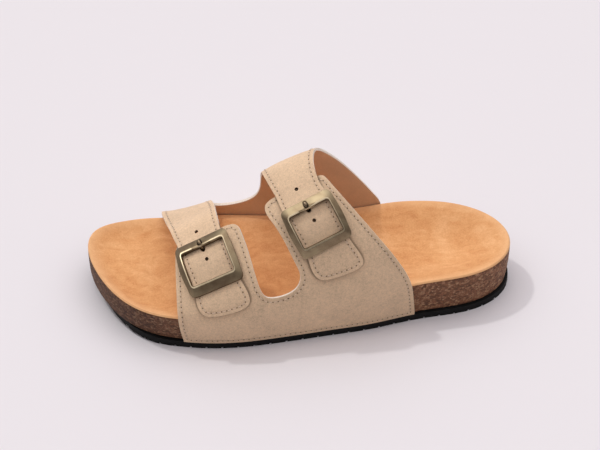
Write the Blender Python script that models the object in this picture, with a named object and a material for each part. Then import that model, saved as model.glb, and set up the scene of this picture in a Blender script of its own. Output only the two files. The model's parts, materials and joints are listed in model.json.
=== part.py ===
"""Cork footbed sandal with two buckled straps, left shoe, in metres.

The toe points along -X, the outer (lateral) side faces -Y and +Z is up. The origin lies on the
floor under the middle of the shoe. Every piece is worked out from one last: the footbed's outline,
its side wall, and the arch of the foot above it. A place on the last has two shares: `along` runs
from the heel (0) to the toe (1), and `around` runs up the lateral wall (-1 to 0), over the foot
(0 to 1) and down the medial wall (1 to 2).
"""

from functools import lru_cache
from math import ceil, cos, exp, pi, sin, sqrt

import bmesh
import bpy
from mathutils import Matrix, Vector
from mathutils.geometry import delaunay_2d_cdt

# Driving sizes of the last
FOOTBED_LENGTH = 0.252
BALL_WIDTH = 0.0915
HEEL_HEIGHT = 0.0305
TOE_SPRING = 0.0055
INSTEP_HEIGHT = 0.0895

# Last, one row for each section. along is the share of the length from the heel. centre, half_width
# and apex_offset are shares of the ball width, positive towards the medial side. lateral_rim,
# medial_rim and basin_depth are shares of the heel height, spread is the share of the half width
# over which the footbed sinks, apex is a share of the instep height, and fullness is how squarely
# the medial side of the arch bulges.
LAST_COLUMNS = (
    "along", "centre", "half_width", "lateral_rim", "medial_rim", "basin_depth", "spread",
    "apex_offset", "apex", "fullness",
)
LAST_ROWS = (
    (0.00, 0.000, 0.372, 0.990, 0.990, 0.26, 0.80, 0.12, 1.06, 2.6),
    (0.10, 0.012, 0.369, 0.995, 1.010, 0.28, 0.80, 0.12, 1.07, 2.6),
    (0.17, 0.018, 0.374, 0.993, 1.030, 0.28, 0.80, 0.13, 1.08, 2.6),
    (0.25, 0.008, 0.391, 0.978, 1.050, 0.27, 0.78, 0.14, 1.08, 2.6),
    (0.35, -0.040, 0.402, 0.935, 1.048, 0.23, 0.73, 0.14, 1.06, 2.6),
    (0.45, -0.065, 0.410, 0.888, 1.010, 0.20, 0.65, 0.14, 1.02, 2.6),
    (0.55, -0.067, 0.441, 0.858, 0.940, 0.17, 0.55, 0.10, 0.905, 2.5),
    (0.65, -0.050, 0.482, 0.828, 0.862, 0.16, 0.45, 0.03, 0.722, 1.9),
    (0.73, -0.031, 0.493, 0.806, 0.822, 0.15, 0.38, -0.01, 0.595, 1.6),
    (0.81, -0.009, 0.474, 0.796, 0.802, 0.15, 0.32, -0.02, 0.496, 1.5),
    (0.90, 0.040, 0.460, 0.820, 0.826, 0.15, 0.30, 0.00, 0.420, 1.5),
    (0.95, 0.098, 0.458, 0.850, 0.853, 0.15, 0.30, 0.03, 0.400, 1.5),
    (1.00, 0.190, 0.450, 0.885, 0.885, 0.15, 0.30, 0.05, 0.380, 1.5),
)
END_ROUNDING = 0.18
SPRING_START = 0.78
LATERAL_FULLNESS = 1.65

# Sole and footbed
OUTSOLE_THICKNESS = 0.0045
OUTSOLE_LIP = 0.0016
CORK_TAPER = 0.0022
TOE_TAPER = 0.0008
TOE_UNDERCUT = 0.0034
UNDERCUT_START = 0.86
INSOLE_THICKNESS = 0.0012
EDGE_ROUNDING = 0.0008
METATARSAL_PAD = 0.0030
TOE_RIDGE = 0.0022
GROOVE_DEPTH = 0.0010
GROOVE_WIDTH = 0.0015
GROOVE_WAVE = 0.0026
GROOVE_COUNT = 26

# Upper
UPPER_THICKNESS = 0.0020
PANEL_SPACING = 0.0052

# Buckles
SIDE_BAR_WIDTH = 0.0037
END_BAR_WIDTH = 0.0060
BAR_THICKNESS = 0.0029
BAR_OVERLAP = 0.0006
BUCKLE_CORNER = 0.0012
BUCKLE_BOW = 0.0005
BUCKLE_RELIEF = 0.0029
CROSSBAR_WIDTH = 0.0026
CROSSBAR_THICKNESS = 0.0014
CROSSBAR_RISE = 0.0060
CROSSBAR_RUN = 0.0150
LEG_THICKNESS = 0.0014
PIN_WIDTH = 0.0021
PIN_THICKNESS = 0.0015
NOTCH_DEPTH = 0.0010
HOLE_WIDTH = 0.0020
PIN_HOLE_WIDTH = 0.0030
HOLE_PITCH = 0.0068
PIN_HOLE_LENGTH = 0.0042

# Clearances
SOLE_GAP = 0.0003
SEAT_GAP = 0.0004
LAYER_GAP = 0.0004
STRAP_SIDE_GAP = 0.0004

# Buckles on their straps. along and around are the buckle's place, slant is how far the strap moves
# along for each share around, width and tip are the strap's width and the length of its end as
# shares of the ball width, and the strap climbs onto the tab from rise down to tab.
BUCKLE_COLUMNS = ("along", "around", "slant", "width", "tip", "rise", "tab")
FRONT_BUCKLE_ROW = (0.7155, 0.282, 0.112, 0.304, 0.314, 0.680, 0.510)
REAR_BUCKLE_ROW = (0.4695, 0.319, 0.254, 0.291, 0.350, 0.700, 0.545)

# Corners of a strap's end, from its rear edge round to its front edge. across is a share of the
# strap's width and down a share of the end's length, both from the buckle's middle.
END_COLUMNS = ("across", "down")
END_CORNERS = (
    (-0.50, -0.55), (-0.50, 0.20), (-0.51, 0.50), (-0.59, 0.72), (-0.60, 0.93), (-0.42, 1.02),
    (0.30, 0.98), (0.52, 0.90), (0.57, 0.68), (0.51, 0.50), (0.50, 0.20), (0.50, -0.55),
)

# Straps above their buckles. front and rear are the two edges, along the last.
STRAP_COLUMNS = ("around", "front", "rear")
FRONT_STRAP = (
    (0.435, 0.787, 0.681),
    (0.500, 0.795, 0.686),
    (0.620, 0.806, 0.692),
    (0.750, 0.814, 0.696),
    (0.870, 0.819, 0.703),
)
REAR_STRAP = (
    (0.445, 0.549, 0.450),
    (0.495, 0.559, 0.460),
    (0.555, 0.569, 0.463),
    (0.620, 0.577, 0.455),
    (0.740, 0.582, 0.399),
)

# Corners of the two quarters, as places on the last. A corner given twice is sharp.
CORNER_COLUMNS = ("along", "around")
LATERAL_CORNERS = (
    (0.242, -0.97), (0.242, -0.97), (0.247, -0.40), (0.252, 0.03), (0.289, 0.137), (0.329, 0.23),
    (0.369, 0.318), (0.402, 0.389), (0.432, 0.458), (0.446, 0.496), (0.476, 0.489), (0.546, 0.474),
    (0.581, 0.468), (0.583, 0.426), (0.568, 0.376), (0.546, 0.295), (0.527, 0.207),
    (0.509, 0.140), (0.526, 0.087), (0.576, 0.072), (0.604, 0.092), (0.617, 0.190), (0.629, 0.310),
    (0.638, 0.380), (0.646, 0.445), (0.671, 0.463), (0.726, 0.458), (0.781, 0.452), (0.794, 0.420),
    (0.798, 0.207), (0.801, 0.00), (0.787, -0.97), (0.787, -0.97),
)
MEDIAL_FRONT_CORNERS = ((0.818, 1.00), (0.806, 1.97), (0.806, 1.97))
MEDIAL_REAR_CORNERS = (
    (0.286, 1.97), (0.286, 1.97), (0.289, 1.06), (0.309, 0.957), (0.335, 0.891), (0.369, 0.809),
)
MEDIAL_NOTCH_CORNERS = (
    (0.583, 0.860), (0.606, 0.910), (0.651, 0.938), (0.696, 0.934),
)

# Pin, from its root beside the crossbar to its rest on the top bar. reach is the share of the way
# to the top bar's middle and rise the share of its height above the crossbar's middle.
PIN_COLUMNS = ("reach", "rise")
PIN_ROWS = ((0.00, 0.00), (0.12, 0.30), (0.30, 0.74), (0.50, 0.96), (0.72, 1.02), (1.00, 1.00))
NOTCH_ROWS = ((0.12, 0.30), (0.30, 0.74), (0.50, 0.96), (0.72, 1.02), (1.08, 1.00))
PIN_HOLE_REACH = 0.14
CORNER_SQUARENESS = 0.42
PIN_SIDES = 8

# Section of a buckle's bars, its ridge close to the opening. out is the share of the bar's width from
# the opening and up the share of its thickness.
BAR_COLUMNS = ("out", "up")
BAR_SECTION = ((0, 0), (1, 0), (1, 0.42), (0.26, 1), (0.10, 1), (0, 0.70))

OUTLINE_SPANS = 36
ARCH_STEPS = 40
SPINE_HEEL = 0.16
SPINE_TOE = 0.82
FOOTBED_SHARES = (0.97, 0.90, 0.80, 0.66, 0.48, 0.24)


def row_value(columns, rows, at, column):
    """Return a column at a place in the rows' first column, along a smooth curve."""
    place = columns.index(column)
    at = min(max(at, rows[0][0]), rows[-1][0])
    span = next((i for i in range(len(rows) - 2) if at < rows[i + 1][0]), len(rows) - 2)
    start, end = rows[span], rows[span + 1]
    before, after = rows[max(span - 1, 0)], rows[min(span + 2, len(rows) - 1)]
    length = end[0] - start[0]
    leaving = (end[place] - before[place]) / (end[0] - before[0]) * length
    arriving = (after[place] - start[place]) / (after[0] - start[0]) * length
    t = (at - start[0]) / length
    return (
        (2 * t**3 - 3 * t**2 + 1) * start[place] + (t**3 - 2 * t**2 + t) * leaving
        + (3 * t**2 - 2 * t**3) * end[place] + (t**3 - t**2) * arriving
    )


def last(along, column):
    """Return one of the last's columns at a section."""
    return row_value(LAST_COLUMNS, LAST_ROWS, along, column)


def smooth(share):
    """Ease a share between 0 and 1."""
    share = min(max(share, 0.0), 1.0)
    return share * share * (3 - 2 * share)


def x_at(along):
    """Return the place along X of a share of the length."""
    return FOOTBED_LENGTH * (0.5 - along)


def along_at(x):
    """Return the share of the length at a place along X."""
    return 0.5 - x / FOOTBED_LENGTH


def edge_y(along, side):
    """Return the footbed's edge on the lateral (-1) or medial (1) side."""
    end = min(along, 1 - along) / END_ROUNDING
    closing = 1.0 if end >= 1 else sqrt(max(0.0, 1 - (1 - end) ** 2))
    return BALL_WIDTH * (last(along, "centre") + side * last(along, "half_width") * closing)


def rim_z(along, side):
    """Return the rim's height on a side, or between the sides."""
    low, high = last(along, "lateral_rim"), last(along, "medial_rim")
    return HEEL_HEIGHT * ((low + high) / 2 + side * (high - low) / 2)


def floor_z(along):
    """Return the height of the sole's underside."""
    return TOE_SPRING * (max(0.0, along - SPRING_START) / (1 - SPRING_START)) ** 2


def cork_foot_z(along):
    """Return the height of the cork's underside."""
    return floor_z(along) + OUTSOLE_THICKNESS + SOLE_GAP


@lru_cache(maxsize=None)
def arch(along):
    """Return the arch's ends, its top, and the fullness and lengths of its two quarters."""
    ends = [Vector((edge_y(along, side), rim_z(along, side))) for side in (-1, 1)]
    top = Vector((BALL_WIDTH * last(along, "apex_offset"), INSTEP_HEIGHT * last(along, "apex")))
    fullnesses = (LATERAL_FULLNESS, last(along, "fullness"))
    tables = []
    for end, fullness in zip(ends, fullnesses):
        lengths = [0.0]
        point = end
        for step in range(1, ARCH_STEPS + 1):
            following = quarter_point(end, top, fullness, step / ARCH_STEPS)
            lengths.append(lengths[-1] + (following - point).length)
            point = following
        tables.append(lengths)
    return ends, top, fullnesses, tables


def quarter_point(end, top, fullness, turn):
    """Return a point of one quarter of the arch, from its end (0) to its top (1)."""
    angle = pi / 2 * turn
    power = 2 / fullness
    return Vector((
        top.x + (end.x - top.x) * max(0.0, cos(angle)) ** power,
        end.y + (top.y - end.y) * sin(angle) ** power,
    ))


def girth(along):
    """Return the length over the foot from rim to rim."""
    return sum(lengths[-1] for lengths in arch(along)[3])


def place(along, around):
    """Return the point of the last at two shares."""
    if around < 0 or around > 1:
        side = -1 if around < 0 else 1
        up = 1 + around if around < 0 else 2 - around
        foot = cork_foot_z(along)
        slope = (edge_y(along + 0.004, side) - edge_y(along - 0.004, side)) / (0.008 * FOOTBED_LENGTH)
        y = edge_y(along, side) - side * CORK_TAPER * (1 - up) ** 2 * sqrt(1 + slope * slope)
        return Vector((x_at(along), y, foot + up * (rim_z(along, side) - foot)))
    ends, top, fullnesses, tables = arch(along)
    length = around * girth(along)
    quarter = 0 if length <= tables[0][-1] else 1
    lengths = tables[quarter]
    if quarter:
        length = girth(along) - length
    step = next((i for i in range(1, ARCH_STEPS) if lengths[i] >= length), ARCH_STEPS)
    share = (length - lengths[step - 1]) / (lengths[step] - lengths[step - 1])
    turn = (step - 1 + share) / ARCH_STEPS
    point = quarter_point(ends[quarter], top, fullnesses[quarter], turn)
    return Vector((x_at(along), point.x, point.y))


def slopes(along, around):
    """Return how the last's point moves with each share."""
    step = 0.004
    with_along = (place(along + step, around) - place(along - step, around)) / (2 * step)
    with_around = (place(along, around + step) - place(along, around - step)) / (2 * step)
    return with_along, with_around


def on_last(along, around, height):
    """Return the point at a height above the last."""
    with_along, with_around = slopes(along, around)
    return place(along, around) + with_around.cross(with_along).normalized() * height


def toe_share(along):
    """Return how far a place lies in the part that is undercut at the toe."""
    return smooth((along - UNDERCUT_START) / (1 - UNDERCUT_START))


def outline(inset):
    """Return the footbed's outline, to the toe on the lateral side and back on the medial side.

    inset is how far outside the outline the points lie, given for each place along.
    """
    shares = [(1 - cos(pi * i / OUTLINE_SPANS)) / 2 for i in range(OUTLINE_SPANS + 1)]
    points = [Vector((x_at(share), edge_y(share, -1))) for share in shares]
    points += [Vector((x_at(share), edge_y(share, 1))) for share in reversed(shares[1:-1])]
    moved = []
    for i, point in enumerate(points):
        run = points[(i + 1) % len(points)] - points[i - 1]
        moved.append(point + Vector((run.y, -run.x)).normalized() * inset(along_at(point.x)))
    return moved


def no_inset(along):
    """Keep a ring on the outline."""
    return 0.0


def ring(share, inset, height):
    """Return a ring at a share of the way from the spine to the outline.

    height gives the ring's height from the place along, the side (-1 to 1) and the share.
    """
    points = []
    for edge in outline(inset):
        along = min(max(along_at(edge.x), SPINE_HEEL), SPINE_TOE)
        spine = Vector((x_at(along), BALL_WIDTH * last(along, "centre")))
        point = spine.lerp(edge, share)
        along = along_at(point.x)
        half = BALL_WIDTH * last(along, "half_width")
        side = (point.y - BALL_WIDTH * last(along, "centre")) / half
        points.append(Vector((point.x, point.y, height(along, min(max(side, -1), 1), share))))
    return points


def footbed_z(along, side, share):
    """Return the height of the footbed's surface."""
    sink = smooth((1 - share) / last(along, "spread"))
    pad = METATARSAL_PAD * exp(-(((along - 0.60) / 0.06) ** 2) - (side / 0.45) ** 2)
    ridge = TOE_RIDGE * exp(-(((along - 0.79 - 0.02 * side) / 0.03) ** 2))
    depth = HEEL_HEIGHT * last(along, "basin_depth")
    return rim_z(along, side) - sink * (depth - pad - ridge)


def loft(rings):
    """Join rings into a closed solid, its first and last rings filled across."""
    mesh = bmesh.new()
    loops = [[mesh.verts.new(point) for point in points] for points in rings]
    count = len(rings[0])
    for low, high in zip(loops, loops[1:]):
        for i in range(count):
            j = (i + 1) % count
            mesh.faces.new((low[i], low[j], high[j], high[i]))
    for end in (loops[0], loops[-1]):
        half = count // 2
        mesh.faces.new((end[0], end[1], end[-1]))
        mesh.faces.new((end[half - 1], end[half], end[half + 1]))
        for i in range(1, half - 1):
            mesh.faces.new((end[i], end[i + 1], end[count - i - 1], end[count - i]))
    return mesh


def sweep(sections, closed):
    """Join sections into a tube, closed on itself or with its ends filled."""
    mesh = bmesh.new()
    loops = [[mesh.verts.new(point) for point in section] for section in sections]
    count = len(sections[0])
    pairs = list(zip(loops, loops[1:] + loops[:1])) if closed else list(zip(loops, loops[1:]))
    for low, high in pairs:
        for i in range(count):
            j = (i + 1) % count
            mesh.faces.new((low[i], low[j], high[j], high[i]))
    if not closed:
        mesh.faces.new(loops[0])
        mesh.faces.new(loops[-1])
    return mesh


def add_object(name, mesh, finish):
    """Make a named object with its own material from a bmesh."""
    bmesh.ops.triangulate(mesh, faces=mesh.faces)
    bmesh.ops.recalc_face_normals(mesh, faces=mesh.faces)
    data = bpy.data.meshes.new(name)
    mesh.to_mesh(data)
    mesh.free()
    thing = bpy.data.objects.new(name, data)
    bpy.context.scene.collection.objects.link(thing)
    colour, roughness, metallic = finish
    material = bpy.data.materials.new(f"{name} finish")
    material.use_nodes = True
    shader = material.node_tree.nodes["Principled BSDF"]
    shader.inputs["Base Color"].default_value = (*colour, 1.0)
    shader.inputs["Roughness"].default_value = roughness
    shader.inputs["Metallic"].default_value = metallic
    data.materials.append(material)
    return thing


def combine(thing, mesh, operation):
    """Cut a mesh from an object, or join it on."""
    tool = add_object("tool", mesh, ((0.5, 0.5, 0.5), 0.5, 0.0))
    modifier = thing.modifiers.new("Combine", "BOOLEAN")
    modifier.operation = operation
    modifier.solver = "EXACT"
    modifier.object = tool
    graph = bpy.context.evaluated_depsgraph_get()
    result = bpy.data.meshes.new_from_object(thing.evaluated_get(graph))
    thing.modifiers.clear()
    thing.data = result
    bpy.data.objects.remove(tool)


def groove(along):
    """Return a cutter for one wavy groove across the outsole."""
    sections = []
    steps = 6
    for step in range(steps + 1):
        across = (step / steps - 0.5) * 2
        shift = GROOVE_WAVE * sin(across * 2.5 * pi)
        x = x_at(along) + shift
        low = floor_z(along_at(x)) - GROOVE_DEPTH
        high = floor_z(along_at(x)) + GROOVE_DEPTH
        y = BALL_WIDTH * (last(along, "centre") + across * 0.62)
        half = GROOVE_WIDTH / 2
        sections.append([
            Vector((x - half, y, low)), Vector((x + half, y, low)),
            Vector((x + half * 0.7, y, high)), Vector((x - half * 0.7, y, high)),
        ])
    return sections


def build_outsole():
    """Make the rubber outsole with its grooves."""
    def inset(along):
        return CORK_TAPER - OUTSOLE_LIP + TOE_UNDERCUT * toe_share(along)

    def under(along, side, share):
        return floor_z(along)

    def over(along, side, share):
        return floor_z(along) + OUTSOLE_THICKNESS

    thing = add_object(
        "outsole", loft([ring(1, inset, under), ring(1, inset, over)]), ((0.012, 0.011, 0.011), 0.6, 0)
    )
    cutter = bmesh.new()
    for i in range(GROOVE_COUNT):
        piece = sweep(groove(0.04 + 0.92 * i / (GROOVE_COUNT - 1)), closed=False)
        data = bpy.data.meshes.new("groove")
        piece.to_mesh(data)
        piece.free()
        cutter.from_mesh(data)
    combine(thing, cutter, "DIFFERENCE")
    return thing


def build_cork():
    """Make the cork midsole, its top sunk to seat the insole."""
    drop = INSOLE_THICKNESS + SOLE_GAP

    def wall(up):
        def height(along, side, share):
            foot = cork_foot_z(along)
            return foot + up * (rim_z(along, side) - drop - foot)

        def inset(along):
            return (CORK_TAPER + (TOE_TAPER - CORK_TAPER) * toe_share(along)) * (1 - up) ** 2
        return ring(1, inset, height)

    def seat(along, side, share):
        return footbed_z(along, side, share) - drop

    rings = [wall(up) for up in (0, 0.3, 0.65, 1)]
    rings += [ring(share, no_inset, seat) for share in FOOTBED_SHARES]
    return add_object("cork_midsole", loft(rings), ((0.16, 0.085, 0.04), 0.85, 0))


def build_insole():
    """Make the suede cover of the footbed."""
    def under(along, side, share):
        return footbed_z(along, side, share) - INSOLE_THICKNESS

    def shoulder(along, side, share):
        return rim_z(along, side) - EDGE_ROUNDING

    def rounding(along):
        return EDGE_ROUNDING

    rings = [ring(share, no_inset, under) for share in reversed(FOOTBED_SHARES)]
    rings += [ring(1, no_inset, under), ring(1, no_inset, shoulder), ring(1, rounding, footbed_z)]
    rings += [ring(share, no_inset, footbed_z) for share in FOOTBED_SHARES]
    return add_object("insole", loft(rings), ((0.55, 0.27, 0.11), 0.9, 0))


class Buckle:
    """Place of a buckle on its strap, with axes across the strap, down it and away from the last."""

    def __init__(self, strap, row):
        self.strap = strap
        self.along, self.around, slant, width, tip, self.rise, self.tab = row
        self.width = BALL_WIDTH * width
        self.tip = BALL_WIDTH * tip
        with_along, with_around = slopes(self.along, self.around)
        down = -(with_around + with_along * slant).normalized()
        normal = with_around.cross(with_along).normalized()
        across = down.cross(normal)
        self.axes = across, down
        self.metres = Matrix((
            (with_along.dot(across), with_around.dot(across)),
            (with_along.dot(down), with_around.dot(down)),
        ))
        self.shares = self.metres.inverted()

    def strap_end(self):
        """Return the places of the strap's end, from its rear edge round to its front edge."""
        return [
            self.shares_at(across * self.width, down * self.tip) for across, down in END_CORNERS
        ]

    def strap_edge(self, column):
        """Return the places of one edge of the strap, up from its buckle."""
        edge = STRAP_COLUMNS.index(column)
        return [(row[edge], row[0]) for row in self.strap]

    def shares_at(self, across, down):
        """Return the shares of a place given in metres from the buckle's middle."""
        along, around = self.shares @ Vector((across, down))
        return self.along + along, self.around + around

    def point(self, across, down, height):
        """Return a point given in metres from the buckle's middle."""
        return on_last(*self.shares_at(across, down), height)

    def square_point(self, across, down, height):
        """Return a point that lies at its place in the buckle's own plane, and above the last."""
        wanted = Vector((across, down))
        place = wanted.copy()
        middle = self.point(0, 0, 0)
        for _ in range(5):
            run = self.point(*place, height) - middle
            place += wanted - Vector([run.dot(axis) for axis in self.axes])
        return self.point(*place, height)

    def down(self, along, around):
        """Return how far down the strap a place on the last lies."""
        return (self.metres @ Vector((along - self.along, around - self.around))).y

    def swell(self, down):
        """Return how far the crossbar below lifts the strap."""
        reach = abs(down + CROSSBAR_RISE)
        flat = CROSSBAR_WIDTH
        return smooth((CROSSBAR_RUN - reach) / (CROSSBAR_RUN - flat)) * (CROSSBAR_THICKNESS + LAYER_GAP)

    def strap_height(self, along, around):
        """Return the height of the strap's underside: on the last, then on the tab."""
        low = SEAT_GAP + UPPER_THICKNESS + LAYER_GAP
        climb = smooth((self.rise - around) / (self.rise - self.tab))
        return SEAT_GAP + climb * (low - SEAT_GAP) + self.swell(self.down(along, around))

    def inner_half(self):
        """Return half the opening of the square frame, whose bars overlap the strap's edges."""
        return self.width / 2 - BAR_OVERLAP

    def inner_length(self):
        """Return half the opening along the strap."""
        return self.inner_half() - BUCKLE_RELIEF

    def frame_height(self, down):
        """Return the height of the frame's underside above the strap, sloping to the lower bar."""
        end = self.inner_half()
        share = min((end - down) / (end + CROSSBAR_RISE - CROSSBAR_WIDTH), 1.0)
        lift = max(share, 0.0) * (CROSSBAR_THICKNESS + LAYER_GAP)
        return SEAT_GAP + 2 * UPPER_THICKNESS + 2 * LAYER_GAP + lift

    def bar_height(self):
        """Return the height of the crossbar's middle, between the tab and the strap."""
        return SEAT_GAP + UPPER_THICKNESS + LAYER_GAP + CROSSBAR_THICKNESS / 2

    def pin_root(self):
        """Return how far above the buckle's middle the pin starts, beside the crossbar."""
        return CROSSBAR_RISE + CROSSBAR_WIDTH / 2 + LAYER_GAP + PIN_THICKNESS / 2

    def pin_rest(self):
        """Return how far above the buckle's middle the pin ends, on the middle of the top bar."""
        return self.inner_length() + END_BAR_WIDTH / 2

    def pin_hole(self):
        """Return how far above the buckle's middle the pin's hole lies."""
        return self.pin_root() + PIN_HOLE_REACH * (self.pin_rest() - self.pin_root())


FRONT_BUCKLE = Buckle(FRONT_STRAP, FRONT_BUCKLE_ROW)
REAR_BUCKLE = Buckle(REAR_STRAP, REAR_BUCKLE_ROW)


def to_pattern(along, around):
    """Return a place on the last as a flat point, in about true metres."""
    flat = min(max(around, 0.0), 1.0)
    wall = around - flat
    return Vector((along * FOOTBED_LENGTH, flat * girth(0.6) + wall * HEEL_HEIGHT * 0.75))


def from_pattern(point):
    """Return the shares of a flat point."""
    over = girth(0.6)
    flat = min(max(point.y, 0.0), over)
    return point.x / FOOTBED_LENGTH, flat / over + (point.y - flat) / (HEEL_HEIGHT * 0.75)


def rounded_loop(corners):
    """Return a flat loop that rounds its corners, with points about a panel's spacing apart."""
    points = [to_pattern(*corner) for corner in corners]
    loop = []
    for i, corner in enumerate(points):
        start = (points[i - 1] + corner) / 2
        end = (corner + points[(i + 1) % len(points)]) / 2
        lengths = (corner - start).length, (end - corner).length
        turn = (corner - start).angle(end - corner, 0.0)
        steps = max(ceil(sum(lengths) / PANEL_SPACING), ceil(turn / 0.4) if min(lengths) > 0 else 1)
        for step in range(steps):
            t = step / steps
            loop.append(start * (1 - t) ** 2 + corner * 2 * t * (1 - t) + end * t * t)
    kept = []
    for point in loop:
        if not kept or (point - kept[-1]).length > PANEL_SPACING * 0.08:
            kept.append(point)
    return kept


def hole_loop(buckle, down, width, length):
    """Return a flat loop for a hole through a strap, below the buckle's middle by a distance."""
    count = 12
    loop = []
    for i in range(count):
        angle = 2 * pi * i / count
        across, along_strap = width / 2 * cos(angle), length / 2 * sin(angle)
        loop.append(to_pattern(*buckle.shares_at(across, down + along_strap)))
    return loop


def inside(point, loop):
    """Tell whether a flat point lies inside a loop."""
    crossings = 0
    for a, b in zip(loop, loop[1:] + loop[:1]):
        if (a.y > point.y) != (b.y > point.y):
            if point.x < a.x + (point.y - a.y) / (b.y - a.y) * (b.x - a.x):
                crossings += 1
    return crossings % 2 == 1


def distance_to(point, loop):
    """Return a flat point's distance to the nearest edge of a loop."""
    nearest = 1.0
    for a, b in zip(loop, loop[1:] + loop[:1]):
        run = b - a
        share = min(max((point - a).dot(run) / run.length_squared, 0.0), 1.0)
        nearest = min(nearest, (point - a - run * share).length)
    return nearest


def build_panel(name, corners, holes, height, finish):
    """Make a panel of the upper from its corners and holes; height gives its underside's height."""
    border = rounded_loop(corners)
    loops = [border] + holes
    points = [point for loop in loops for point in loop]
    edges = []
    for loop in loops:
        first = len(edges)
        edges += [(first + i, first + (i + 1) % len(loop)) for i in range(len(loop))]
    low = Vector((min(p.x for p in border), min(p.y for p in border)))
    high = Vector((max(p.x for p in border), max(p.y for p in border)))
    row_step = PANEL_SPACING * sqrt(3) / 2
    for row in range(ceil((high.y - low.y) / row_step)):
        for column in range(ceil((high.x - low.x) / PANEL_SPACING) + 1):
            point = low + Vector(((column + 0.5 * (row % 2)) * PANEL_SPACING, row * row_step))
            if inside(point, border) and all(
                distance_to(point, loop) > PANEL_SPACING * 0.5 for loop in loops
            ) and not any(inside(point, hole) for hole in holes):
                points.append(point)
    flat, _, faces, _, _, _ = delaunay_2d_cdt(points, edges, [], 1, 1e-7)
    mesh = bmesh.new()
    under, over = [], []
    for point in flat:
        along, around = from_pattern(point)
        gap = height(along, around)
        under.append(mesh.verts.new(on_last(along, around, gap)))
        over.append(mesh.verts.new(on_last(along, around, gap + UPPER_THICKNESS)))
    used = {}
    for face in faces:
        middle = sum((flat[i] for i in face), Vector((0, 0))) / len(face)
        if any(inside(middle, hole) for hole in holes):
            continue
        mesh.faces.new([over[i] for i in face])
        mesh.faces.new([under[i] for i in reversed(face)])
        for a, b in zip(face, list(face[1:]) + [face[0]]):
            used[(a, b)] = used.get((a, b), 0) + 1
    for a, b in used:
        if (b, a) not in used:
            mesh.faces.new((over[b], over[a], under[a], under[b]))
    bmesh.ops.delete(mesh, geom=[v for v in mesh.verts if not v.link_faces], context="VERTS")
    return add_object(name, mesh, finish)


def build_upper():
    """Make the lateral quarter with its two tabs, and the medial quarter with its two straps."""
    def seated(along, around):
        return SEAT_GAP

    def strapped(along, around):
        if around > 1:
            return SEAT_GAP
        middle = (FRONT_BUCKLE.along + REAR_BUCKLE.along) / 2
        slant = (FRONT_BUCKLE_ROW[2] + REAR_BUCKLE_ROW[2]) / 2
        boundary = middle + slant * (min(around, 0.5) - FRONT_BUCKLE.around)
        buckle = FRONT_BUCKLE if along > boundary else REAR_BUCKLE
        return buckle.strap_height(along, around)

    build_panel("upper_lateral", LATERAL_CORNERS, [], seated, ((0.42, 0.34, 0.27), 0.85, 0))
    corners = list(MEDIAL_REAR_CORNERS)
    holes = []
    for buckle, after in ((REAR_BUCKLE, MEDIAL_NOTCH_CORNERS), (FRONT_BUCKLE, MEDIAL_FRONT_CORNERS)):
        corners += reversed(buckle.strap_edge("rear"))
        corners += buckle.strap_end()
        corners += buckle.strap_edge("front")
        corners += after
        holes.append(hole_loop(buckle, -buckle.pin_hole(), PIN_HOLE_WIDTH, PIN_HOLE_LENGTH))
        for pitches in (1, -2):
            down = pitches * HOLE_PITCH - buckle.pin_hole()
            holes.append(hole_loop(buckle, down, HOLE_WIDTH, HOLE_WIDTH))
    build_panel("upper_medial", corners, holes, strapped, ((0.42, 0.34, 0.27), 0.85, 0))


def build_buckle(name, buckle):
    """Make the square frame, with its crossbar carried on two legs beside the strap."""
    sections = []
    for quarter in range(4):
        turn = Matrix.Rotation(pi / 2 * quarter, 2)
        reaches = (buckle.inner_half(), buckle.inner_length())
        widths = (SIDE_BAR_WIDTH, END_BAR_WIDTH)
        (reach, run), (near, far) = (reaches, widths) if quarter % 2 == 0 else (reaches[::-1], widths[::-1])
        stations = [(step / 4, 0.0) for step in range(1, 4)] + [(1.0, pi / 8 * i) for i in range(5)]
        for side, angle in stations:
            points = []
            for out, up in BAR_SECTION:
                bow = BUCKLE_BOW * out * (1 - (2 * side - 1) ** 2) * (1 - quarter % 2)
                corner = Vector((reach - BUCKLE_CORNER, (run - BUCKLE_CORNER) * (2 * side - 1)))
                fullness = 1 - CORNER_SQUARENESS * out
                swing = Vector((
                    (BUCKLE_CORNER + out * near + bow) * max(cos(angle), 0.0) ** fullness,
                    (BUCKLE_CORNER + out * far) * max(sin(angle), 0.0) ** fullness,
                ))
                across, down = turn @ (corner + swing)
                height = buckle.frame_height(down) + up * BAR_THICKNESS
                points.append(buckle.square_point(across, down, height))
            sections.append(points)
    thing = add_object(name, sweep(sections, closed=True), ((0.30, 0.24, 0.16), 0.35, 1))
    combine(thing, crossbar(buckle), "UNION")
    combine(thing, rod(buckle, LAYER_GAP, NOTCH_ROWS), "DIFFERENCE")
    return thing


def crossbar(buckle):
    """Return the crossbar under the strap, with a leg up into the frame on each side."""
    leg = buckle.width / 2 + STRAP_SIDE_GAP + LEG_THICKNESS / 2
    level = buckle.bar_height()
    high = buckle.frame_height(-CROSSBAR_RISE) + BAR_THICKNESS / 2
    sections = []
    for share in (-1, -1, -0.5, 0, 0.5, 1, 1):
        end = abs(share) == 1
        top = end and len(sections) in (0, 6)
        points = []
        for out, along_strap in ((-1, -1), (-1, 1), (1, 1), (1, -1)):
            across = leg * share + (share * out * LEG_THICKNESS / 2 if end else 0)
            height = high if top else level - out * CROSSBAR_THICKNESS / 2
            down = along_strap * CROSSBAR_WIDTH / 2 - CROSSBAR_RISE
            points.append(buckle.point(across, down, height))
        sections.append(points)
    return sweep(sections, closed=False)


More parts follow.
